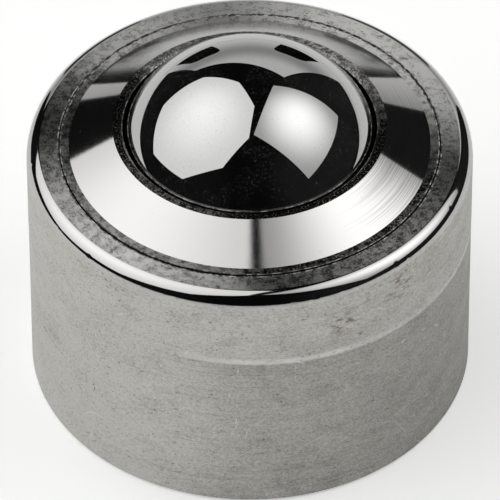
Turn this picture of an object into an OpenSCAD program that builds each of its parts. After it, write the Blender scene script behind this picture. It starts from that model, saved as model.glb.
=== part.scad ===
// Ball transfer unit: a chrome-steel load ball that rolls in any direction on small
// support balls, in a turned steel housing that drops into a bored seat.
// Millimetres, +Z up. Origin: centre of the housing's flat seat face.

/* [Load ball] */
// Diameter of the load ball
load_ball_d = 34; // [30:0.5:38]
// Depth of the load ball's centre below the housing's rim
ball_depth = 4.65; // [4.4:0.05:5]

/* [Support balls] */
// Diameter of the small balls that carry the load ball
support_ball_d = 5; // [4.6:0.1:5.4]
// Gap between one row of support balls and the next
row_gap = 0.08; // [0.05:0.01:0.2]
// Smallest gap between neighbours in a row
neighbour_gap = 0.03; // [0.02:0.01:0.1]
// Running gap between the support balls and what they roll on
rolling_gap = 0.05; // [0.02:0.01:0.08]

/* [Race cup] */
// Wall of the hardened cup
cup_wall = 1.4; // [1.2:0.1:2.5]
// How far the cup's flange reaches past its bowl
flange_reach = 1.2; // [1:0.1:3]
// Thickness of that flange
flange_t = 2; // [1.2:0.1:3]

/* [Housing] */
// Wall of the housing round the cap and the cup's flange
wall = 2.8; // [2.4:0.1:6]
// Height of the housing from the seat face to the rim
body_h = 35; // [31:0.5:45]
// How much the lower length is turned down, so that it drops into the bored seat
spigot_relief = 0.03; // [0.02:0.01:0.2]
// Height of that lower length
spigot_h = 23; // [12:0.5:26]
// Height of the shallow taper above it
spigot_taper_h = 0.5; // [0.2:0.1:1]
// Radius of the polished top edge
rim_round = 2; // [0.5:0.1:2.5]
// Depth that grinding the rim flat has taken off that radius
rim_grind = 0.04; // [0.01:0.01:0.1]
// Chamfer round the foot
foot_chamfer = 0.4; // [0.2:0.1:1]
// How far the rim is rolled in over the cap's shoulder
rim_overlap = 1.29; // [1:0.01:1.6]
// Thickness of the rolled-in rim
rim_t = 1.4; // [1:0.1:1.8]
// Broken edges on both sides of the gap round the cap
edge_break = 0.15; // [0.05:0.05:0.25]

/* [Cap ring] */
// Gap between the cap and the rolled rim
rim_gap = 0.17; // [0.1:0.01:0.3]
// Thickness of the shoulder held under the rim
shoulder_t = 1.4; // [1:0.1:2]
// Height of the cap's outer land above the rim
cap_proud = 0.1; // [0:0.05:0.3]
// Width of the outer land
outer_land = 1.27; // [0.5:0.01:2.5]
// Rise of the cone
cone_rise = 3.1; // [2.6:0.1:4]
// Width of the land at the top of the cone
top_land = 1.22; // [0.6:0.02:2.5]
// Gap between the load ball and both ends of the cap's tapered bore
bore_gap = 0.38; // [0.3:0.01:0.6]
// Broken edge between that bore and the top land
lip_edge = 0.3; // [0.1:0.05:0.4]

/* [Felt seal] */
// Width of the felt ring that rests on the cup's edge
seal_seat = 0.5; // [0.3:0.1:0.8]
// Thickness of the felt ring
seal_t = 1.4; // [1.2:0.1:1.5]
// Gap between the felt's wiping face and the load ball
seal_gap = 0.03; // [0.02:0.01:0.08]

/* [Fits] */
// Radial clearance of pieces that are dropped into the housing or the cap
fit = 0.05; // [0.02:0.01:0.1]

/* [Hidden] */
$fn = 96;
over = 1;                                   // how far a cutting shape runs past a face

// Heights, stacked downwards from the rim
ball_z = body_h - ball_depth;
rim_under_z = body_h - rim_t;
cap_under_z = rim_under_z - shoulder_t;
cup_seat_z = cap_under_z - flange_t;
land_z = body_h + cap_proud;
top_land_z = land_z + cone_rise;
lip_z = top_land_z - lip_edge;
seal_top_z = cap_under_z + seal_t;

// Radii, stacked outwards from the load ball
load_r = load_ball_d / 2;
support_r = support_ball_d / 2;
pitch_r = load_r + rolling_gap + support_r;
race_r = pitch_r + support_r + rolling_gap;
cup_r = race_r + cup_wall;
seal_r = race_r + seal_seat;
bore_r = cup_r + flange_reach;
body_r = bore_r + wall;
spigot_r = body_r - spigot_relief;
mouth_r = bore_r - rim_overlap;
cap_r = mouth_r - rim_gap;
cone_base_r = cap_r - outer_land;

// Radius that leaves the bore gap round the load ball at a height
function taper_r(z) = sqrt(pow(load_r + bore_gap, 2) - pow(z - ball_z, 2));
lip_r = taper_r(lip_z);
cone_top_r = lip_r + top_land;

// Rows of support balls, counted upwards from the one at the bottom of the cup
row_step = 2 * asin((support_ball_d + row_gap) / 2 / pitch_r);
top_row_angle = acos((ball_z + support_r + rolling_gap - cap_under_z) / pitch_r);
rows = floor(top_row_angle / row_step) + 1;
single_rows = min(4, rows);                 // rows whose balls are nodes of their own
pair_chord = support_ball_d + neighbour_gap;
function row_angle(row) = row * row_step;
function row_count(row) =
    row == 0 ? 1 : floor(180 / asin(pair_chord / 2 / (pitch_r * sin(row_angle(row)))));
function ball_name(row, i) = str("support_ball_", row, "_", i + 1);
function row_name(row) = str("support_ball_row_", row);

// Turned steel cup with its rim rolled in over the cap
module housing() {
    color("#A6A6A0") rotate_extrude() difference() {
        housing_outline();
        // mouth of the rolled rim, with its edge broken
        polygon([
            [0, rim_under_z - over],
            [mouth_r, rim_under_z - over],
            [mouth_r, body_h - edge_break],
            [mouth_r + edge_break, body_h],
            [mouth_r + edge_break, body_h + over],
            [0, body_h + over]
        ]);
        // bore for the cap's shoulder and the cup's flange
        translate([0, cup_seat_z]) square([bore_r, rim_under_z - cup_seat_z]);
        // round pocket that clears the cup
        translate([0, ball_z]) circle(cup_r + fit);
    }
}

// Half section of the housing's outside: foot, spigot, taper, upper length, round edge
module housing_outline() {
    round_z = body_h + rim_grind - rim_round;
    polygon([
        [0, 0],
        [spigot_r - foot_chamfer, 0],
        [spigot_r, foot_chamfer],
        [spigot_r, spigot_h],
        [body_r, spigot_h + spigot_taper_h],
        [body_r, round_z],
        [body_r - rim_round, round_z],
        [body_r - rim_round, body_h],
        [0, body_h]
    ]);
    intersection() {
        translate([body_r - rim_round, round_z]) circle(rim_round);
        translate([body_r - 2 * rim_round, body_h - 2 * rim_round]) square(2 * rim_round);
    }
}

// Hardened cup, round inside up to the ball's centre and straight above it, hung by its
// flange on the housing's shoulder
module race_cup() {
    bowl_foot_z = ball_z - cup_r;
    color("#8E8E8A") rotate_extrude() difference() {
        union() {
            intersection() {
                translate([0, ball_z]) circle(cup_r);
                translate([0, bowl_foot_z - over])
                    square([cup_r + over, cap_under_z - bowl_foot_z + over]);
            }
            translate([0, cup_seat_z]) square([bore_r - fit, flange_t]);
        }
        translate([0, ball_z]) circle(race_r);
        translate([0, ball_z]) square([race_r, cap_under_z - ball_z + over]);
    }
}

// Turned retaining ring: shoulder, outer land, cone, top land, tapered bore, seal recess
module cap_ring() {
    color("#C8C8C6") rotate_extrude() polygon([
        [seal_r + fit, cap_under_z],
        [bore_r - fit, cap_under_z],
        [bore_r - fit, rim_under_z],
        [cap_r, rim_under_z],
        [cap_r, land_z - edge_break],
        [cap_r - edge_break, land_z],
        [cone_base_r, land_z],
        [cone_top_r, top_land_z],
        [lip_r + lip_edge, top_land_z],
        [lip_r, lip_z],
        [taper_r(seal_top_z), seal_top_z],
        [seal_r + fit, seal_top_z]
    ]);
}

// Felt wiper ring, trapped between the cap and the edge of the cup
module felt_seal() {
    color("#2A2926") rotate_extrude() difference() {
        translate([0, cap_under_z]) square([seal_r, seal_t]);
        translate([0, ball_z]) circle(load_r + seal_gap);
    }
}

// Polished chrome-steel ball that carries the load
module load_ball() {
    color("#D8D8DA") translate([0, 0, ball_z]) sphere(load_r);
}

// One support ball: number i of its row
module support_ball(row, i) {
    turn = 360 * i / row_count(row);
    color("#C4C4C6")
        translate([0, 0, ball_z])
        rotate([0, 0, turn])
        rotate([0, -row_angle(row), 0])
        translate([0, 0, -pitch_r])
        sphere(support_r);
}

// A whole row of support balls
module support_row(row) {
    for (i = [0:row_count(row) - 1]) support_ball(row, i);
}

housing();
race_cup();
cap_ring();
felt_seal();
load_ball();
for (row = [0:single_rows - 1]) for (i = [0:row_count(row) - 1])
    support_ball(row, i);
for (row = [single_rows:1:rows - 1])
    support_row(row);
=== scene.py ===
"""Looks and studio for a ball transfer unit: turned, ground and polished steel round a
chrome-steel load ball."""

from math import asin, atan2, cos, degrees, hypot, pi, radians, remainder, sin, sqrt

import bmesh
import bpy
from bpy.props import FloatProperty, FloatVectorProperty, IntProperty, PointerProperty
from bpy.types import Operator, Panel, PropertyGroup
from mathutils import Matrix, Vector, noise


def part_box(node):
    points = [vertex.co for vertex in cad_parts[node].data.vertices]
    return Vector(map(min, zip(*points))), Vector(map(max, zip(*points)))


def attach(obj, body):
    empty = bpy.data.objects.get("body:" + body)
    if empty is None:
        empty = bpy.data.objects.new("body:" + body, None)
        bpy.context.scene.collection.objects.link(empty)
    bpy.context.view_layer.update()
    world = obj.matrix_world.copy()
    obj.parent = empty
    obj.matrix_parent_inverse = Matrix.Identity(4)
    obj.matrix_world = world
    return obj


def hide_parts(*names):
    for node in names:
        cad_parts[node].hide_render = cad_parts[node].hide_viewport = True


bl_info = {
    "name": "Ball transfer unit",
    "version": (1, 0, 0),
    "blender": (4, 5, 0),
    "location": "3D View > Sidebar > Ball unit",
    "description": "Dresses a drop-in ball transfer unit in turned and polished steel",
    "category": "Object",
}

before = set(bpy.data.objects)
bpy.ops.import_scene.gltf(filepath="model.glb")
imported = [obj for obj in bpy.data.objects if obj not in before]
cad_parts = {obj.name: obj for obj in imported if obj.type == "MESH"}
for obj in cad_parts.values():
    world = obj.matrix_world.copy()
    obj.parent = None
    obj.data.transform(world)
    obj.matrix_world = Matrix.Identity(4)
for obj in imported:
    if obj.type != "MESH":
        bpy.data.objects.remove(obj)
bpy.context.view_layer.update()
MM = 0.001

# What the frame gives: how far housing, cap, felt, ball and race cup reach
BODY_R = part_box("housing")[1].x
RIM_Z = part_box("housing")[1].z
CAP_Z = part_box("cap_ring")[1].z
CAP_FOOT_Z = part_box("cap_ring")[0].z
SHOULDER_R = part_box("cap_ring")[1].x
FELT_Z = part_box("felt_seal")[1].z
BALL_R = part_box("load_ball")[1].x
BALL_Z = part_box("load_ball")[1].z - BALL_R
CUP_R = BALL_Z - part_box("race_cup")[0].z

# From an edge at the gap to the far side of its burr's crest, and to the burr's foot
BURR_CREST = 0.22 * MM
BURR_FOOT = 0.32 * MM
# A burr is rubbed bright where it stands higher than this
PROUD = 0.003 * MM
# Two heights closer than this count as one
LEVEL = 0.01 * MM
# Steps of an arc in a half section
ARC_STEPS = 24
# Faces that meet at more than this are shaded with a sharp edge
SHARP = radians(20)
# Finishes of a turned piece in order: its own one, and three that housing and cap share
OWN, FACED, GRIMY, BURNISHED = range(4)


def linear(hex_colour):
    """An sRGB colour such as "#A6A6A0" as linear red, green and blue."""
    parts = [int(hex_colour[i:i + 2], 16) / 255 for i in (1, 3, 5)]
    return tuple(c / 12.92 if c < 0.04045 else ((c + 0.055) / 1.055) ** 2.4 for c in parts)


def length(name, description, mm):
    """A size property. Its default is given in millimetres."""
    return FloatProperty(name=name, description=description, default=mm * MM,
                         unit="LENGTH", precision=5)


def angle(name, description, value):
    """An angle property. Its default is given in degrees."""
    return FloatProperty(name=name, description=description, default=radians(value),
                         unit="ROTATION")


def share(name, description, value):
    """A plain number property, such as a level or a share."""
    return FloatProperty(name=name, description=description, default=value)


def colour(name, description, hex_colour):
    """A colour property."""
    return FloatVectorProperty(name=name, description=description, subtype="COLOR", size=3,
                               min=0, max=1, default=linear(hex_colour))


class HousingSizes(PropertyGroup):
    """Sizes of the turned housing that its box doesn't give."""
    rim_round: length("Edge radius", "Radius of the polished top edge", 2)
    rim_grind: length("Rim grind", "Depth ground off that radius at the rim", 0.04)
    mouth_inset: length("Mouth inset", "From the outside in to the mouth of the rim", 4.09)
    edge_break: length("Broken edge", "Broken edge of the mouth", 0.15)
    rim_thickness: length("Rim thickness", "Thickness of the rolled-in rim", 1.4)
    bore_inset: length("Bore inset", "From the outside in to the bore", 2.8)
    cup_flange: length("Cup flange", "Thickness of the race cup's flange", 2)
    spigot_height: length("Spigot height", "Height of the turned-down lower length", 23)
    spigot_taper: length("Spigot taper", "Height of the taper above it", 0.5)
    spigot_relief: length("Spigot relief", "How much it is turned down", 0.03)
    foot_chamfer: length("Foot chamfer", "Chamfer round the foot", 0.4)
    pocket_gap: length("Pocket gap", "Clearance round the race cup", 0.05)
    burr: length("Burr", "Height of the burr that rolling left at the mouth", 0.05)
    nick: length("Nick depth", "Depth of the nicks along the top edge", 0.025)
    turns: IntProperty(name="Steps round", description="Mesh steps round the axis", default=1024)


class CapSizes(PropertyGroup):
    """Sizes of the retaining ring that its box doesn't give."""
    shoulder: length("Shoulder", "Thickness of the shoulder under the rim", 1.4)
    rim_inset: length("Rim inset", "From the shoulder in to the visible edge", 1.11)
    edge_break: length("Broken edge", "Broken edge at the gap", 0.15)
    cone_rise: length("Cone rise", "Height of the cone", 3.1)
    outer_land: length("Outer land", "Width of the land outside the cone", 1.27)
    top_land: length("Top land", "Width of the land at the top of the cone", 1.22)
    bore_gap: length("Bore gap", "Gap between the ball and the tapered bore's ends", 0.38)
    lip_edge: length("Lip edge", "Broken edge between the bore and the top land", 0.3)
    burr: length("Burr", "Height of the burr at the gap", 0.05)
    turns: IntProperty(name="Steps round", description="Mesh steps round the axis", default=1024)


class Finishes(PropertyGroup):
    """Colours of the finishes."""
    turned_steel: colour("Turned steel", "Satin side of the housing", "#E1E0DB")
    # Also the colour of the painted shade on the side, darker towards the front right
    stain_and_painted_shade: colour("Stain", "Dull oil and handling stains on the side", "#7B7973")
    rust: colour("Rust", "Brown spots on the side", "#77604F")
    # Also the colour of the painted highlight along the belt line on the side
    rubbed_steel_and_painted_highlight: colour("Rubbed steel", "Scratches and rubbed places", "#F6F5F2")
    polished_steel: colour("Polished steel", "Polished edge and cone", "#D3D2D0")
    faced_steel: colour("Faced steel", "Faced rim and lands", "#E4E3DF")
    chrome_steel: colour("Chrome steel", "Load ball and support balls", "#CFCFCE")
    dust: colour("Dust", "Dust and dried oil on the ball", "#B9B4AE")
    race_steel: colour("Race steel", "Hardened race cup", "#8E8E8A")
    felt: colour("Felt", "Pressed wool felt", "#2A2926")
    # Also the colour of painted shade on the faced rim and the polished cone
    grime_and_painted_shade: colour("Grime", "Old oil and dirt in gaps and pits", "#1B1917")


class Studio(PropertyGroup):
    """Camera, lamps, floor, dark room and card."""
    camera_distance: length("Camera distance", "From the middle of the rim", 978.2)
    camera_elevation: angle("Camera elevation", "Above the horizon", 43.24)
    camera_tilt: angle("Camera tilt", "How far the camera looks below that middle", 0.77)
    camera_roll: angle("Camera roll", "How far the camera leans", 0.165)
    camera_lens: FloatProperty(name="Lens", description="Focal length on a 36 mm sensor",
                               default=572.3)
    lamp_distance: length("Lamp distance", "From the ball to both softboxes", 700)
    octabox_radius: length("Octabox", "From its middle to the middle of a side", 590)
    octabox_level: share("Octabox level", "Radiance at the middle of its cloth", 1.42)
    oblong_length: length("Oblong softbox length", "Its longer side", 817)
    oblong_width: length("Oblong softbox width", "Its shorter side", 776)
    oblong_level: share("Oblong softbox level", "Radiance at the middle of its cloth", 1.65)
    room_half: length("Room", "Half the width of the dark room", 2200)
    room_height: length("Room height", "Height of the dark room", 2000)
    room_front: share("Room in front", "Radiance of the dark room in front", 0.003)
    room_left: share("Room left", "Radiance it gains towards the left", 0.004)
    room_right: share("Room right", "Radiance it gains towards the right", 0.01)
    floor_half: length("Floor half", "Half the width of the studio floor", 2500)
    floor_colour: colour("Floor", "Pale studio floor", "#F4F4F3")
    table_half: length("Table", "Half the width of the paper-covered table", 600)
    card_distance: length("Card distance", "From the object back to the standing card", 260)
    floor_lift: share("Floor lift", "Light added to what the camera sees of the floor", 0.42)
    mirrored_lift: share("Mirrored lift", "The same for what steel mirrors", 0.12)
    ambient: share("Ambient", "Light from all round that falls on matt surfaces", 0.08)


def add(tree, kind, inputs=None, **settings):
    """Adds one node, sets its properties, and sets or links its inputs."""
    made = tree.nodes.new("ShaderNode" + kind)
    for key, value in settings.items():
        setattr(made, key, value)
    for key, value in (inputs or {}).items():
        if isinstance(value, bpy.types.NodeSocket):
            tree.links.new(value, made.inputs[key])
        else:
            made.inputs[key].default_value = value
    return made


def new_material(name):
    """An empty material and its node tree, with an output node."""
    made = bpy.data.materials.new(name)
    made.use_nodes = True
    made.node_tree.nodes.clear()
    return made, made.node_tree


def shade(tree, shader):
    """Links a shader to the tree's output."""
    add(tree, "OutputMaterial", {"Surface": shader.outputs[0]})


def rgba(value):
    """A colour property with its alpha."""
    return (*value, 1.0)


def millimetres(tree):
    """Object coordinates in millimetres: the place, the same along rings (x and y are the
    direction from the axis, z is radius less height), the radius, the height, and the
    azimuth in degrees from the camera's side to the right."""
    place = add(tree, "VectorMath", {0: add(tree, "TexCoord").outputs["Object"], "Scale": 1000},
                operation="SCALE").outputs[0]
    flat = add(tree, "VectorMath", {0: place, 1: (1, 1, 0)}, operation="MULTIPLY").outputs[0]
    radius = add(tree, "VectorMath", {0: flat}, operation="LENGTH").outputs["Value"]
    spoke = add(tree, "VectorMath", {0: flat}, operation="NORMALIZE").outputs[0]
    parts = add(tree, "SeparateXYZ", {0: place}).outputs
    height = parts["Z"]
    across = plus(tree, radius, times(tree, height, -1))
    axis = add(tree, "CombineXYZ", {"Z": across}).outputs[0]
    ring = add(tree, "VectorMath", {0: spoke, 1: axis}, operation="ADD").outputs[0]
    turn = add(tree, "Math", {0: parts["X"], 1: times(tree, parts["Y"], -1)},
               operation="ARCTAN2").outputs[0]
    return place, ring, radius, height, times(tree, turn, 180 / pi)


def pattern(tree, vector, scale, detail=4, roughness=0.6):
    """Noise over a vector whose axes are scaled by scale."""
    spread = add(tree, "VectorMath", {0: vector, 1: scale}, operation="MULTIPLY").outputs[0]
    return add(tree, "TexNoise", {"Vector": spread, "Scale": 1, "Detail": detail,
                                  "Roughness": roughness}).outputs["Fac"]


def between(tree, value, low, high, to_low=0.0, to_high=1.0):
    """Maps value from low..high to to_low..to_high, smoothly and clamped."""
    return add(tree, "MapRange",
               {"Value": value, "From Min": low, "From Max": high,
                "To Min": to_low, "To Max": to_high},
               interpolation_type="SMOOTHSTEP").outputs[0]


def times(tree, *values):
    """The product of sockets and numbers."""
    product = values[0]
    for value in values[1:]:
        product = add(tree, "Math", {0: product, 1: value}, operation="MULTIPLY").outputs[0]
    return product


def plus(tree, *values):
    """The sum of sockets and numbers."""
    total = values[0]
    for value in values[1:]:
        total = add(tree, "Math", {0: total, 1: value}, operation="ADD").outputs[0]
    return total


def mixed(tree, share_, first, second):
    """A number that goes from first to second."""
    return add(tree, "Mix", {0: share_, 2: first, 3: second}).outputs[0]


def tinted(tree, share_, first, second):
    """A colour that goes from first to second."""
    return add(tree, "Mix", {0: share_, 6: first, 7: second}, data_type="RGBA").outputs[2]


def tooled_metal(tree, tone, rough, relief, depth, spread=0.0, film=0.0):
    """Metal whose relief is depth millimetres high. spread is how far the marks, which run
    round the axis, stretch its highlights across them. film is how much of it is oily."""
    bump = add(tree, "Bump", {"Height": relief, "Strength": 1.0, "Distance": depth * MM})
    round_axis = add(tree, "Tangent", direction_type="RADIAL", axis="Z")
    shade(tree, add(tree, "BsdfPrincipled", {
        "Base Color": tone, "Metallic": 1.0, "Roughness": rough, "Normal": bump.outputs[0],
        "Anisotropic": spread, "Anisotropic Rotation": 0.25, "Tangent": round_axis.outputs[0],
        "Coat Weight": film, "Coat Roughness": 0.1, "Coat IOR": 1.5}))


def turned_steel(finishes, sizes):
    """Bright mild steel, fine-turned on the side and polished round the top edge. The side
    gives a soft grey sheen with faint rings, stains and scratches, and the edge crisp bands."""
    material, tree = new_material("bright_steel_turned")
    place, ring, radius, height, azimuth = millimetres(tree)
    top = RIM_Z / MM
    # Turning rings are drawn 0.3 mm apart, because the real 0.1 mm is too fine to show
    rings = pattern(tree, ring, (2.2, 2.2, 3.3), 3)
    lines = pattern(tree, ring, (1.5, 1.5, 5), 2, 0.7)
    grain = pattern(tree, place, (3, 3, 4), 5, 0.75)
    clouds = pattern(tree, place, (0.09, 0.09, 0.16), 4)
    smears = pattern(tree, ring, (6, 6, 0.35), 5, 0.65)
    # The finishing belt stopped on a slanted line. A painted highlight runs along it and the side
    # is darker below it, both only on the front and right
    lean = add(tree, "VectorMath", {0: place, 1: (0.022, 0.0145, 1)},
               operation="DOT_PRODUCT").outputs["Value"]
    line_z = (sizes.spigot_height + sizes.spigot_taper) / MM
    shown = times(tree, between(tree, azimuth, -35, 5), between(tree, azimuth, 110, 160, 1, 0))
    lower = times(tree, between(tree, lean, line_z - 0.25, line_z + 0.1, 1, 0), shown)
    line = times(tree, between(tree, lean, line_z - 0.3, line_z + 0.2),
                 between(tree, lean, line_z + 0.4, line_z + 1.2, 1, 0),
                 between(tree, clouds, 0.4, 0.6, 0.35, 0.65), shown)
    specks = times(tree, between(tree, pattern(tree, ring, (45, 45, 3), 3, 0.75), 0.61, 0.66),
                   between(tree, smears, 0.4, 0.6, 0.5, 1))
    rubs = between(tree, pattern(tree, place, (0.5, 0.5, 0.7), 6, 0.75), 0.54, 0.72, 0, 0.4)
    stains = between(tree, pattern(tree, place, (0.2, 0.2, 0.3), 6, 0.65), 0.45, 0.7, 0, 0.12)
    # Groups of brown spots high on the front right
    groups = []
    for x, y, z, size in ((18.3, -20.5, top - 4.5, 3.6), (11.5, -25, top - 6.5, 3)):
        away = add(tree, "VectorMath", {0: place, 1: (x, y, z)}, operation="DISTANCE")
        groups.append(between(tree, away.outputs["Value"], 0.5, size, 1, 0))
    spots = times(tree, plus(tree, *groups),
                  between(tree, pattern(tree, ring, (22, 22, 1.6), 5, 0.7), 0.5, 0.6, 0, 0.8))
    # Painted light and shade: the left is lighter than the right, and the two ends of that fade
    # meet at the back
    dulling_and_painted_shade = plus(tree, times(tree, lower, 0.26), between(tree, azimuth, -60, 50, -0.15, 0.03),
                  between(tree, azimuth, 110, 175, 0, -0.18),
                  between(tree, smears, 0.4, 0.7, 0, 0.1), between(tree, lines, 0.5, 0.75, 0, 0.2),
                  between(tree, grain, 0.4, 0.6, 0.3, 0), stains)
    tone = tinted(tree, dulling_and_painted_shade, rgba(finishes.turned_steel), rgba(finishes.stain_and_painted_shade))
    scratches = plus(tree, scratch(tree, place, (0.06, 0.06, 0.03), 0.024, 0.56),
                     scratch(tree, place, (0.03, 0.03, 0.07), 0.02, 0.56),
                     scratch(tree, ring, (1.2, 1.2, 0.12), 0.024, 0.58))
    # Lighter where rubbed and scratched, and along the belt line, where it is a painted highlight
    light = between(tree, plus(tree, rubs, line, scratches), 0, 1)
    tone = tinted(tree, light, tone, rgba(finishes.rubbed_steel_and_painted_highlight))
    tone = tinted(tree, specks, tone, rgba(finishes.stain_and_painted_shade))
    tone = tinted(tree, spots, tone, rgba(finishes.rust))
    # The polish fades out unevenly below the round edge
    polished = between(tree, plus(tree, height, times(tree, grain, 0.8)), top - 1.6, top - 0.7)
    tone = tinted(tree, polished, tone, rgba(finishes.polished_steel))
    mouth = (BODY_R - sizes.mouth_inset) / MM
    inside = between(tree, radius, mouth + 0.02, mouth + 0.06, 1, 0)
    tone = tinted(tree, inside, tone, rgba(finishes.grime_and_painted_shade))
    rough = mixed(tree, polished, between(tree, clouds, 0.3, 0.7, 0.4, 0.48), 0.06)
    relief = plus(tree, times(tree, rings, 0.6), times(tree, grain, 0.5))
    relief = times(tree, relief, mixed(tree, polished, 1.0, 0.02))
    tooled_metal(tree, tone, rough, relief, 0.022, 0.3)
    return material


def scratch(tree, place, scale, width, kept_from):
    """Fine gently curved scratches: level lines of a wide pattern, kept only where a finer
    one is above kept_from. width is half a line's width, as a share of the step between two."""
    steps = 12
    levels = times(tree, pattern(tree, place, scale, 0), steps)
    path = plus(tree, add(tree, "Math", {0: levels}, operation="FRACT").outputs[0], -0.5)
    away = add(tree, "Math", {0: path}, operation="ABSOLUTE").outputs[0]
    kept = pattern(tree, place, tuple(8 * k for k in scale), 4, 0.6)
    return times(tree, between(tree, away, 0, width, 1, 0),
                 between(tree, kept, kept_from, kept_from + 0.06, 0, 0.7))


def faced_steel(finishes):
    """Steel faced in fine rings and lightly ground: its highlights spread outwards, so it is
    bright only in the sectors that face a lamp. Oil and dirt fill its pits, most of all on
    the land next to the ball, and an oil film lies over it."""
    material, tree = new_material("bright_steel_faced")
    place, ring, radius, _, azimuth = millimetres(tree)
    grain = pattern(tree, ring, (55, 55, 4.5), 4, 0.8)
    # Facing rings are drawn 0.2 mm apart
    rings = pattern(tree, ring, (5, 5, 5), 4, 0.7)
    blotches = pattern(tree, place, (1.1, 1.1, 1.1), 5, 0.7)
    drift = times(tree, plus(tree, pattern(tree, place, (0.3, 0.3, 0.3), 4), -0.5), 60)
    turn = plus(tree, azimuth, drift)
    # Two oily sectors: the front right and the left
    oiled = plus(tree, times(tree, between(tree, turn, -14, 10),
                             between(tree, turn, 70, 100, 1, 0)),
                 times(tree, between(tree, turn, -135, -118),
                       between(tree, turn, -98, -62, 1, 0)))
    top_land = between(tree, radius, 17.3, 17.9, 1, 0)
    outer_land = between(tree, radius, 23.2, 23.4, 1, 0)
    # How much of the face is dirty: pits everywhere, more under oil and on the lands
    level = plus(tree, 0.44, times(tree, oiled, 0.03), times(tree, outer_land, 0.005),
                 times(tree, top_land, 0.07))
    mottle = plus(tree, times(tree, grain, 0.65), times(tree, blotches, 0.35))
    dirt = add(tree, "MapRange", {"Value": mottle, "From Min": plus(tree, level, -0.02),
                                  "From Max": plus(tree, level, 0.02),
                                  "To Min": 0.7, "To Max": 0}).outputs[0]
    front = add(tree, "Math", {0: azimuth}, operation="ABSOLUTE").outputs[0]
    # Painted shade: the face is darker at the front and lighter at the back, and the outer land
    # much darker at the front, where they mirror the dark room; the rest is dirt
    dull = plus(tree, times(tree, oiled, 0.45), between(tree, front, 60, 110, 0.12, -0.06),
                between(tree, blotches, 0.42, 0.58, 0.24, -0.06),
                times(tree, outer_land, between(tree, front, 60, 150, 0.32, 0.04)),
                times(tree, top_land, 0.43))
    tone = tinted(tree, dull, rgba(finishes.faced_steel), rgba(finishes.grime_and_painted_shade))
    tone = tinted(tree, dirt, tone, rgba(finishes.grime_and_painted_shade))
    # Bare bright grains stand out of the dirt
    grains = between(tree, pattern(tree, place, (5, 5, 5), 2, 0.6), 0.6, 0.65, 0, 0.7)
    tone = tinted(tree, grains, tone, rgba(finishes.polished_steel))
    rough = plus(tree, between(tree, blotches, 0.35, 0.65, 0.32, 0.42), times(tree, dirt, 0.1),
                 times(tree, grains, 0.15))
    relief = plus(tree, times(tree, rings, 0.5), times(tree, grain, 0.5))
    tooled_metal(tree, tone, rough, relief, 0.013, 1.0, 1.0)
    return material


def polished_steel(finishes):
    """Bright steel turned with a fine feed and polished: a mirror whose edges are feathered by the
    rings left in it, with painted shade on its right and towards the back, and a few specks."""
    material, tree = new_material("bright_steel_turned_polished")
    place, ring, radius, _, azimuth = millimetres(tree)
    # Feed rings are drawn 0.15 mm apart
    rings = pattern(tree, ring, (0.8, 0.8, 7), 3, 0.7)
    specks = between(tree, pattern(tree, place, (4, 4, 4), 4, 0.7), 0.68, 0.76, 0, 0.7)
    flecks = between(tree, pattern(tree, place, (3, 3, 3), 3, 0.6), 0.73, 0.76, 0, 0.9)
    # Painted shade for what the cone mirrors: darker rings on the right, and a darker back that is
    # darkest low on the cone
    painted_ring_shade = times(tree, between(tree, rings, 0.4, 0.65),
                 between(tree, azimuth, 30, 65, 0, 0.42), between(tree, azimuth, 80, 130, 1, 0))
    behind = add(tree, "Math", {0: azimuth}, operation="ABSOLUTE").outputs[0]
    painted_low_back_shade = times(tree, between(tree, radius, 17.5, 21.5, 0, 0.6),
                   between(tree, behind, 145, 172, 1, 0))
    clouds = pattern(tree, place, (0.5, 0.5, 0.5), 5, 0.65)
    # This film is painted shade over the back of the cone
    film = times(tree, between(tree, behind, 126, 133), plus(tree, painted_low_back_shade, 0.22),
                 between(tree, clouds, 0.3, 0.7, 0.8, 1.2))
    tone = tinted(tree, plus(tree, painted_ring_shade, film), rgba(finishes.polished_steel),
                  rgba(finishes.grime_and_painted_shade))
    tone = tinted(tree, specks, tone, rgba(finishes.grime_and_painted_shade))
    rough = mixed(tree, plus(tree, specks, flecks), 0.085, 0.6)
    tooled_metal(tree, tone, rough, rings, 0.0025, 0.8)
    return material


def grimy_steel(finishes):
    """Steel under old oil and dirt, in the gaps round the cap and the ball: nearly black."""
    material, tree = new_material("bright_steel_oiled_grime")
    place = millimetres(tree)[0]
    crust = pattern(tree, place, (2, 2, 2), 5, 0.7)
    tone = tinted(tree, between(tree, crust, 0.5, 0.8, 0, 0.3), rgba(finishes.grime_and_painted_shade),
                  rgba(finishes.stain_and_painted_shade))
    tooled_metal(tree, tone, between(tree, crust, 0.3, 0.7, 0.5, 0.7), crust, 0.03)
    return material


def burnished_steel(finishes):
    """Steel rubbed bright in patches where edges stand proud: broken bright lines."""
    material, tree = new_material("bright_steel_burnished")
    place = millimetres(tree)[0]
    patches = pattern(tree, place, (1.2, 1.2, 1.2), 4, 0.8)
    tone = tinted(tree, between(tree, patches, 0.46, 0.6, 0.9, 0.1),
                  rgba(finishes.rubbed_steel_and_painted_highlight), rgba(finishes.grime_and_painted_shade))
    tooled_metal(tree, tone, 0.42, patches, 0.01)
    return material


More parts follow.
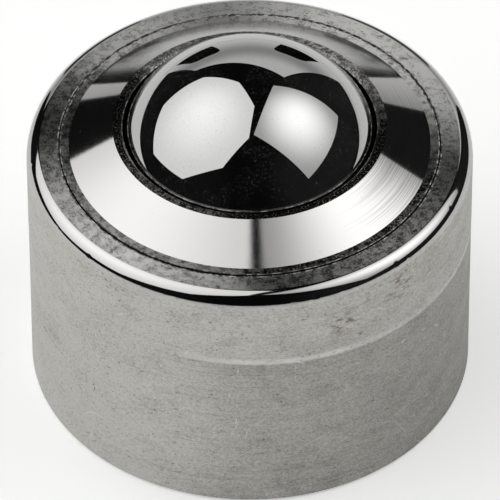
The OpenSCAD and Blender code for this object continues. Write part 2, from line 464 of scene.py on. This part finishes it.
def chrome_ball_steel(finishes):
    """Hardened chrome steel, lapped to a mirror, under fine dust and a few dried specks."""
    material, tree = new_material("chrome_steel_lapped")
    place = millimetres(tree)[0]
    film = pattern(tree, place, (0.2, 0.2, 0.2), 5)
    haze = between(tree, film, 0.4, 0.65, 0, 0.02)
    dust = times(tree, between(tree, pattern(tree, place, (3.5, 3.5, 3.5), 3, 0.8), 0.56, 0.64),
                 between(tree, film, 0.42, 0.58, 0.05, 0.7))
    flecks = between(tree, pattern(tree, place, (2.5, 2.5, 2.5), 2, 0.6), 0.7, 0.73)
    dirty = add(tree, "Math", {0: plus(tree, dust, haze), 1: flecks}, operation="MAXIMUM")
    clean = add(tree, "BsdfPrincipled", {"Base Color": rgba(finishes.chrome_steel),
                                         "Metallic": 1.0, "Roughness": 0.012})
    soiled = add(tree, "BsdfPrincipled", {"Base Color": rgba(finishes.dust),
                                          "Roughness": 0.6})
    shade(tree, add(tree, "MixShader", {0: times(tree, dirty.outputs[0], 0.2),
                                        1: clean.outputs[0], 2: soiled.outputs[0]}))
    return material


def race_cup_steel(finishes):
    """Hardened steel, ground inside: an even grey with a slightly mottled sheen."""
    material, tree = new_material("hardened_steel_ground")
    place = millimetres(tree)[0]
    mottle = add(tree, "TexNoise", {"Vector": place, "Scale": 1.5, "Detail": 4}).outputs["Fac"]
    shade(tree, add(tree, "BsdfPrincipled", {
        "Base Color": rgba(finishes.race_steel), "Metallic": 1.0,
        "Roughness": between(tree, mottle, 0.3, 0.7, 0.2, 0.35)}))
    return material


def pressed_felt(finishes):
    """Pressed wool felt, oiled: dark and matt, with short fibres that catch a little light."""
    material, tree = new_material("wool_felt_pressed")
    place = millimetres(tree)[0]
    fibres = add(tree, "TexNoise", {"Vector": place, "Scale": 4, "Detail": 6,
                                    "Roughness": 0.8}).outputs["Fac"]
    bump = add(tree, "Bump", {"Height": fibres, "Strength": 0.6, "Distance": 0.2 * MM})
    shade(tree, add(tree, "BsdfPrincipled", {
        "Base Color": rgba(finishes.felt), "Roughness": 0.95, "Sheen Weight": 0.3,
        "Normal": bump.outputs[0]}))
    return material


# Nicks along the housing's top edge: azimuth and slope in degrees, and half width in mm
NICKS = ((-84, 40, 0.5), (-60, 16, 0.5), (-46, 30, 0.3), (-20, 12, 0.3), (11, 20, 0.4),
         (17, 30, 0.4), (24, 14, 0.3), (41, 36, 0.4), (45, 24, 0.4), (66, 45, 0.4))


def arc(centre, radius, start, end, steps):
    """Points of an arc in a half section, from start to end in degrees."""
    sweep = [radians(start + (end - start) * i / steps) for i in range(steps + 1)]
    return [(centre[0] + radius * cos(a), centre[1] + radius * sin(a)) for a in sweep]


def lathe(name, outline, turns, wear, finish_of):
    """Turns a closed half section round the axis. wear(r, z, angle) gives how far each point
    moves outwards and up, and finish_of(r, z) which finish is at a face's middle."""
    shape = bmesh.new()
    rings = []
    for r, z in outline:
        if r == 0:
            rings.append([shape.verts.new((0, 0, z))] * turns)
            continue
        ring = []
        for i in range(turns):
            a = 2 * pi * i / turns
            out, up = wear(r, z, a)
            ring.append(shape.verts.new(((r + out) * cos(a), (r + out) * sin(a), z + up)))
        rings.append(ring)
    for low, high in zip(rings, rings[1:]):
        for i in range(turns):
            j = (i + 1) % turns
            corners = list(dict.fromkeys((low[i], low[j], high[j], high[i])))
            if len(corners) > 2:
                shape.faces.new(corners)
    if outline[0][0] > 0:
        for i in range(turns):
            j = (i + 1) % turns
            shape.faces.new((rings[-1][i], rings[-1][j], rings[0][j], rings[0][i]))
    bmesh.ops.recalc_face_normals(shape, faces=shape.faces)
    for face in shape.faces:
        middle = face.calc_center_median()
        face.material_index = finish_of(hypot(middle.x, middle.y), middle.z)
    mesh = bpy.data.meshes.new(name)
    shape.to_mesh(mesh)
    shape.free()
    mesh.shade_smooth()
    mesh.set_sharp_from_angle(angle=SHARP)
    made = bpy.data.objects.new(name, mesh)
    bpy.context.scene.collection.objects.link(made)
    return made


def ragged(a, radius, grain, seed):
    """Noise along a ring, from 0 to 1, with lumps about grain long."""
    k = radius / grain
    return min(1, max(0, 0.5 + noise.noise(Vector((k * cos(a), k * sin(a), seed)))))


def burr_rise(a, radius, height, swell, seeds):
    """How far a burr rises at an angle: fine teeth that grow and fade over swell metres."""
    teeth = 0.2 + 0.8 * ragged(a, radius, 0.4 * MM, seeds[0])
    return height * teeth * (0.3 + 0.7 * ragged(a, radius, swell, seeds[1]))


def dress(piece, body, materials, slot, *nodes):
    """Gives a piece its materials and body, and lets it stand for CAD nodes. slot is not used."""
    for material in materials:
        piece.data.materials.append(material)
    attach(piece, body)
    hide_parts(*nodes)


class BALLUNIT_OT_housing(Operator):
    """Make the turned housing with its rolled rim"""
    bl_idname = "ballunit.housing"
    bl_label = "Housing"

    def execute(self, context):
        sizes = context.scene.ballunit_housing
        mouth_r = BODY_R - sizes.mouth_inset
        bore_r = BODY_R - sizes.bore_inset
        spigot_r = BODY_R - sizes.spigot_relief
        under_z = RIM_Z - sizes.rim_thickness
        pocket_r = CUP_R + sizes.pocket_gap
        round_at = (BODY_R - sizes.rim_round, RIM_Z + sizes.rim_grind - sizes.rim_round)
        crest = 90 - degrees(sqrt(2 * sizes.rim_grind / sizes.rim_round))
        flat_r = round_at[0] + sizes.rim_round * cos(radians(crest))
        seat_z = CAP_FOOT_Z - sizes.cup_flange
        shelf = atan2(seat_z - BALL_Z, sqrt(pocket_r ** 2 - (seat_z - BALL_Z) ** 2))
        edge = arc(round_at, sizes.rim_round, 0, crest, ARC_STEPS)
        edge[-1] = (flat_r, RIM_Z)
        outline = [
            (0, 0),
            (spigot_r - sizes.foot_chamfer, 0),
            (spigot_r, sizes.foot_chamfer),
            (spigot_r, sizes.spigot_height),
            (BODY_R, sizes.spigot_height + sizes.spigot_taper),
            *edge,
            (mouth_r + BURR_FOOT, RIM_Z),
            (mouth_r + BURR_CREST, RIM_Z),
            (mouth_r + sizes.edge_break, RIM_Z),
            (mouth_r, RIM_Z - sizes.edge_break),
            (mouth_r, under_z),
            (bore_r, under_z),
            (bore_r, seat_z),
            *arc((0, BALL_Z), pocket_r, degrees(shelf), -90, ARC_STEPS)[:-1],
            (0, BALL_Z - pocket_r),
        ]

        def wear(r, z, a):
            out, up = 0, 0
            if abs(z - RIM_Z) < LEVEL and r < mouth_r + BURR_FOOT - LEVEL:
                up = burr_rise(a, r, sizes.burr, 4 * MM, (3.1, 9.7))
            if z > round_at[1] and r > flat_r:
                climb = asin(min(1, (z - round_at[1]) / sizes.rim_round))
                for azimuth, slope, width in NICKS:
                    turn = remainder(a + pi / 2 - radians(azimuth), 2 * pi) * r
                    away = hypot(turn, (climb - radians(slope)) * sizes.rim_round)
                    dent = sizes.nick * max(0, 1 - (away / (width * MM)) ** 2)
                    out -= dent * cos(climb)
                    up -= dent * sin(climb)
            return out, up

        def finish_of(r, z):
            if z > RIM_Z + PROUD and r > mouth_r + sizes.edge_break:
                return BURNISHED
            if r < mouth_r + 0.1 * MM and z < RIM_Z or r < bore_r and 1 * MM < z < RIM_Z - 1 * MM:
                return GRIMY
            return FACED if z > RIM_Z - LEVEL else OWN

        piece = lathe("housing_turned", outline, sizes.turns, wear, finish_of)
        finishes = context.scene.ballunit_finishes
        dress(piece, "housing", (turned_steel(finishes, sizes), faced_steel(finishes),
                                 grimy_steel(finishes), burnished_steel(finishes)),
              "housing_steel", "housing")
        return {"FINISHED"}


class BALLUNIT_OT_cap_ring(Operator):
    """Make the retaining ring with its polished cone"""
    bl_idname = "ballunit.cap_ring"
    bl_label = "Cap ring"

    def execute(self, context):
        sizes = context.scene.ballunit_cap
        edge_r = SHOULDER_R - sizes.rim_inset
        land_z = CAP_Z - sizes.cone_rise
        lip_z = CAP_Z - sizes.lip_edge

        def bore_r(z):
            return sqrt((BALL_R + sizes.bore_gap) ** 2 - (z - BALL_Z) ** 2)

        lip_r = bore_r(lip_z)
        seal_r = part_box("felt_seal")[1].x + 0.05 * MM
        outline = [
            (seal_r, CAP_FOOT_Z),
            (SHOULDER_R, CAP_FOOT_Z),
            (SHOULDER_R, CAP_FOOT_Z + sizes.shoulder),
            (edge_r, CAP_FOOT_Z + sizes.shoulder),
            (edge_r, land_z - sizes.edge_break),
            (edge_r - sizes.edge_break, land_z),
            (edge_r - BURR_CREST, land_z),
            (edge_r - BURR_FOOT, land_z),
            (edge_r - sizes.outer_land, land_z),
            (lip_r + sizes.top_land, CAP_Z),
            (lip_r + sizes.lip_edge, CAP_Z),
            (lip_r + 0.1 * MM, lip_z + 0.1 * MM),
            (lip_r, lip_z),
            (bore_r(FELT_Z), FELT_Z),
            (seal_r, FELT_Z),
        ]

        def wear(r, z, a):
            if abs(z - land_z) < LEVEL and r > edge_r - BURR_FOOT + LEVEL:
                return 0, burr_rise(a, r, sizes.burr, 5 * MM, (5.3, 2.9))
            return 0, 0

        def finish_of(r, z):
            if z < lip_z and r < bore_r(FELT_Z) or z < land_z - LEVEL:
                return GRIMY
            if z > lip_z and r < lip_r + 0.1 * MM:
                return BURNISHED
            if edge_r - BURR_FOOT < r < edge_r - sizes.edge_break and z > land_z + PROUD:
                return BURNISHED
            return OWN if land_z + 0.1 * MM < z < CAP_Z - 0.1 * MM else FACED

        piece = lathe("cap_ring_turned", outline, sizes.turns, wear, finish_of)
        finishes = context.scene.ballunit_finishes
        dress(piece, "housing", (polished_steel(finishes), faced_steel(finishes),
                                 grimy_steel(finishes), burnished_steel(finishes)),
              "cap_steel", "cap_ring")
        return {"FINISHED"}


class BALLUNIT_OT_load_ball(Operator):
    """Make the lapped load ball"""
    bl_idname = "ballunit.load_ball"
    bl_label = "Load ball"

    def execute(self, context):
        shape = bmesh.new()
        bmesh.ops.create_icosphere(shape, subdivisions=7, radius=BALL_R,
                                   matrix=Matrix.Translation((0, 0, BALL_Z)))
        mesh = bpy.data.meshes.new("load_ball_lapped")
        shape.to_mesh(mesh)
        shape.free()
        mesh.shade_smooth()
        piece = bpy.data.objects.new("load_ball_lapped", mesh)
        context.scene.collection.objects.link(piece)
        dress(piece, "load_ball", [chrome_ball_steel(context.scene.ballunit_finishes)],
              "ball_steel", "load_ball")
        return {"FINISHED"}


class BALLUNIT_OT_inner_pieces(Operator):
    """Finish the race cup, the felt seal and the support balls"""
    bl_idname = "ballunit.inner_pieces"
    bl_label = "Inner pieces"

    def execute(self, context):
        finishes = context.scene.ballunit_finishes
        chrome = chrome_ball_steel(finishes)
        chrome.name = "chrome_steel_support_balls"
        wanted = {"race_cup": race_cup_steel(finishes), "felt_seal": pressed_felt(finishes)}
        for name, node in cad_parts.items():
            material = wanted.get(name, chrome if name.startswith("support_ball") else None)
            if material:
                node.data.materials.clear()
                node.data.materials.append(material)
        return {"FINISHED"}


def direction(azimuth, elevation):
    """The direction at an azimuth from the camera's side, to the right, and an elevation."""
    a, e = radians(azimuth), radians(elevation)
    return Vector((sin(a) * cos(e), -cos(a) * cos(e), sin(e)))


def stage_panel(name, corners, material, seen_by):
    """A flat stage panel. Only the kinds of ray in seen_by meet it."""
    mesh = bpy.data.meshes.new(name)
    mesh.from_pydata(corners, [], [tuple(range(len(corners)))])
    mesh.materials.append(material)
    made = bpy.data.objects.new(name, mesh)
    bpy.context.scene.collection.objects.link(made)
    for kind in ("camera", "diffuse", "glossy", "transmission", "shadow", "volume_scatter"):
        setattr(made, "visible_" + kind, kind in seen_by)


def softbox_cloth(name, level, middle, fade, edge):
    """Lit softbox cloth: level in the middle, and the share edge of it from fade outwards."""
    material, tree = new_material(name)
    away = add(tree, "VectorMath", {0: add(tree, "TexCoord").outputs["Object"],
                                    1: tuple(middle)}, operation="DISTANCE").outputs["Value"]
    strength = between(tree, away, 0, fade, level, level * edge)
    glow = add(tree, "Emission", {"Color": (1, 1, 1, 1), "Strength": strength})
    dark = add(tree, "Emission", {"Color": (0, 0, 0, 1), "Strength": 0})
    back = add(tree, "NewGeometry").outputs["Backfacing"]
    shade(tree, add(tree, "MixShader", {0: back, 1: glow.outputs[0], 2: dark.outputs[0]}))
    return material


def softbox(name, reach, place, facing, turn, level, fade, edge, distance):
    """A softbox distance away from the ball. place is the azimuth and elevation at which it
    stands, and facing those that its back points to. reach is how far each side lies from its
    middle, and turn where the first one lies. level, fade and edge are those of its cloth."""
    ball = Vector((0, 0, BALL_Z))
    middle = ball + direction(*place) * distance
    normal = direction(*facing)
    across = Vector((0, 0, 1)).cross(normal).normalized()
    up = normal.cross(across)
    step = 2 * pi / len(reach)
    corners = []
    for i, side in enumerate(reach):
        a = radians(turn) + step * i
        along = (reach[(i + 1) % len(reach)] - side * cos(step)) / sin(step)
        corners.append(middle + across * (side * cos(a) - along * sin(a))
                       + up * (side * sin(a) + along * cos(a)))
    corners.reverse()
    stage_panel(name, corners, softbox_cloth(name + "_cloth", level, middle, fade, edge),
                ("diffuse", "glossy", "transmission"))


class BALLUNIT_OT_studio(Operator):
    """Make the camera, the floor, the softboxes, the dark room and the card"""
    bl_idname = "ballunit.studio"
    bl_label = "Studio"

    def execute(self, context):
        studio = context.scene.ballunit_studio
        self.camera(context, studio)
        self.floor(context, studio)
        self.lamps(studio)
        self.cards(studio)
        self.world(context, studio)
        context.scene.view_settings.view_transform = "Standard"
        return {"FINISHED"}

    def camera(self, context, studio):
        target = Vector((0, 0, RIM_Z))
        lens = bpy.data.cameras.new("camera")
        lens.sensor_width = 36
        lens.lens = studio.camera_lens
        made = bpy.data.objects.new("camera", lens)
        context.scene.collection.objects.link(made)
        away = direction(0, degrees(studio.camera_elevation))
        place = target + away * studio.camera_distance
        tilt = pi / 2 - studio.camera_elevation - studio.camera_tilt
        made.matrix_world = (Matrix.Translation(place) @ Matrix.Rotation(tilt, 4, "X")
                             @ Matrix.Rotation(-studio.camera_roll, 4, "Z"))
        context.scene.camera = made

    def floor(self, context, studio):
        material, tree = new_material("paper_white_floor")
        diffuse = add(tree, "BsdfDiffuse", {"Color": rgba(studio.floor_colour)})
        path = add(tree, "LightPath").outputs
        mirrored = add(tree, "Math", {0: path["Is Glossy Ray"],
                                      1: path["Is Transmission Ray"]}, operation="MAXIMUM")
        lift = plus(tree, times(tree, path["Is Camera Ray"], studio.floor_lift),
                    times(tree, mirrored.outputs[0], studio.mirrored_lift))
        glow = add(tree, "Emission", {"Color": (1, 1, 1, 1), "Strength": lift})
        shade(tree, add(tree, "AddShader", {0: diffuse.outputs[0], 1: glow.outputs[0]}))
        half = studio.floor_half
        # Just under the seat face, so that the two don't share a plane
        z = -0.02 * MM
        corners = [(-half, -half, z), (half, -half, z), (half, half, z), (-half, half, z)]
        stage_panel("floor", corners, material,
                    ("camera", "diffuse", "glossy", "transmission", "shadow"))

    def lamps(self, studio):
        """An octagonal softbox on the left and an oblong one on the right."""
        softbox("octabox", (studio.octabox_radius,) * 8, place=(-107, 54.8),
                facing=(-78.8, 44.7), turn=17.3, level=studio.octabox_level,
                fade=studio.octabox_radius, edge=0.68, distance=studio.lamp_distance)
        softbox("oblong_softbox", (studio.oblong_length / 2, studio.oblong_width / 2) * 2,
                place=(99.6, 53.4), facing=(72.9, 41.3), turn=1.5, level=studio.oblong_level,
                fade=0.625 * studio.oblong_length, edge=0.3, distance=studio.lamp_distance)

    def cards(self, studio):
        """A dark room and a standing card, for the polished steel to mirror."""
        dark, tree = new_material("dark_room")
        side = add(tree, "SeparateXYZ", {0: millimetres(tree)[0]}).outputs["X"]
        # The room gets lighter from near to wide, in millimetres to either side
        near, wide = 300, 2000
        level = plus(tree, between(tree, side, -wide, -near, studio.room_left, 0),
                     between(tree, side, near, wide, 0, studio.room_right), studio.room_front)
        shade(tree, add(tree, "Emission", {"Color": (1, 1, 1, 1), "Strength": level}))
        far, top, half = studio.room_half, studio.room_height, studio.table_half
        z = 0.05 * MM
        for name, x0, x1, y0, y1 in (
            ("room_floor_left", -far, -half, -far, far),
            ("room_floor_right", half, far, -far, far),
            ("room_floor_front", -half, half, -far, -half),
            ("room_floor_back", -half, half, half, far),
        ):
            stage_panel(name, [(x0, y0, z), (x1, y0, z), (x1, y1, z), (x0, y1, z)], dark,
                        ("glossy",))
        corners = [(-far, -far), (far, -far), (far, far), (-far, far)]
        stage_panel("room_roof", [(x, y, top) for x, y in corners], dark, ("glossy",))
        for i, (x0, y0) in enumerate(corners):
            x1, y1 = corners[i - 1]
            stage_panel("room_wall_" + str(i + 1),
                        [(x0, y0, 0), (x1, y1, 0), (x1, y1, top), (x0, y0, top)], dark,
                        ("glossy",))
        paper, tree = new_material("card_paper")
        # The card glows with painted light instead of being lit, with painted shade at its fold:
        # darkest there and lighter above and below, within spread of it
        fold_z, spread, dim, bright = 112, 95, 0.3, 0.6
        away = add(tree, "Math", {0: plus(tree, millimetres(tree)[3], -fold_z)},
                   operation="ABSOLUTE").outputs[0]
        shade(tree, add(tree, "Emission", {
            "Color": (1, 1, 1, 1), "Strength": between(tree, away, 0, spread, dim, bright)}))
        back = studio.card_distance
        # Places on the card are in millimetres: to the right of the ball, and up
        card = [(-146, 0), (180, 0), (140, 306), (-148, 159)]
        stage_panel("card", [(x * MM, back, z * MM) for x, z in card], paper, ("glossy",))
        half, sill, spring, bend = 34, 22, 78, 21
        for name, x in (("card_window_left", -86), ("card_window_right", 77)):
            window = [(x - half, sill), (x + half, sill),
                      *arc((x + half - bend, spring), bend, 0, 90, 5),
                      *arc((x - half + bend, spring), bend, 90, 180, 5)]
            stage_panel(name, [(a * MM, back - 2 * MM, b * MM) for a, b in window], dark,
                        ("glossy",))

    def world(self, context, studio):
        """Full light for rays from the camera, a mirror or glass, and little for the rest."""
        made = bpy.data.worlds.new("studio_world")
        made.use_nodes = True
        tree = made.node_tree
        tree.nodes.clear()
        path = add(tree, "LightPath").outputs
        seen = add(tree, "Math", {0: path["Is Camera Ray"], 1: path["Is Glossy Ray"]},
                   operation="MAXIMUM").outputs[0]
        seen = add(tree, "Math", {0: seen, 1: path["Is Transmission Ray"]},
                   operation="MAXIMUM").outputs[0]
        level = add(tree, "Math", {0: seen, 1: studio.ambient}, operation="MAXIMUM").outputs[0]
        back = add(tree, "Background", {"Color": (1, 1, 1, 1), "Strength": level})
        add(tree, "OutputWorld", {"Surface": back.outputs[0]})
        context.scene.world = made


class BALLUNIT_PT_panel(Panel):
    """Lists the unit's pieces and the studio"""
    bl_idname = "BALLUNIT_PT_panel"
    bl_label = "Ball transfer unit"
    bl_space_type = "VIEW_3D"
    bl_region_type = "UI"
    bl_category = "Ball unit"

    def draw(self, context):
        for operator in OPERATORS:
            self.layout.operator(operator.bl_idname)


SETTINGS = {
    "ballunit_housing": HousingSizes,
    "ballunit_cap": CapSizes,
    "ballunit_finishes": Finishes,
    "ballunit_studio": Studio,
}
OPERATORS = (
    BALLUNIT_OT_studio,
    BALLUNIT_OT_housing,
    BALLUNIT_OT_cap_ring,
    BALLUNIT_OT_load_ball,
    BALLUNIT_OT_inner_pieces,
)


def register():
    for kind in (*SETTINGS.values(), *OPERATORS, BALLUNIT_PT_panel):
        bpy.utils.register_class(kind)
    for name, kind in SETTINGS.items():
        setattr(bpy.types.Scene, name, PointerProperty(type=kind))


def unregister():
    for name in SETTINGS:
        delattr(bpy.types.Scene, name)
    for kind in reversed((*SETTINGS.values(), *OPERATORS, BALLUNIT_PT_panel)):
        bpy.utils.unregister_class(kind)


def main():
    register()
    bpy.ops.ballunit.studio()
    bpy.ops.ballunit.housing()
    bpy.ops.ballunit.cap_ring()
    bpy.ops.ballunit.load_ball()
    bpy.ops.ballunit.inner_pieces()


if __name__ == "__main__":
    main()
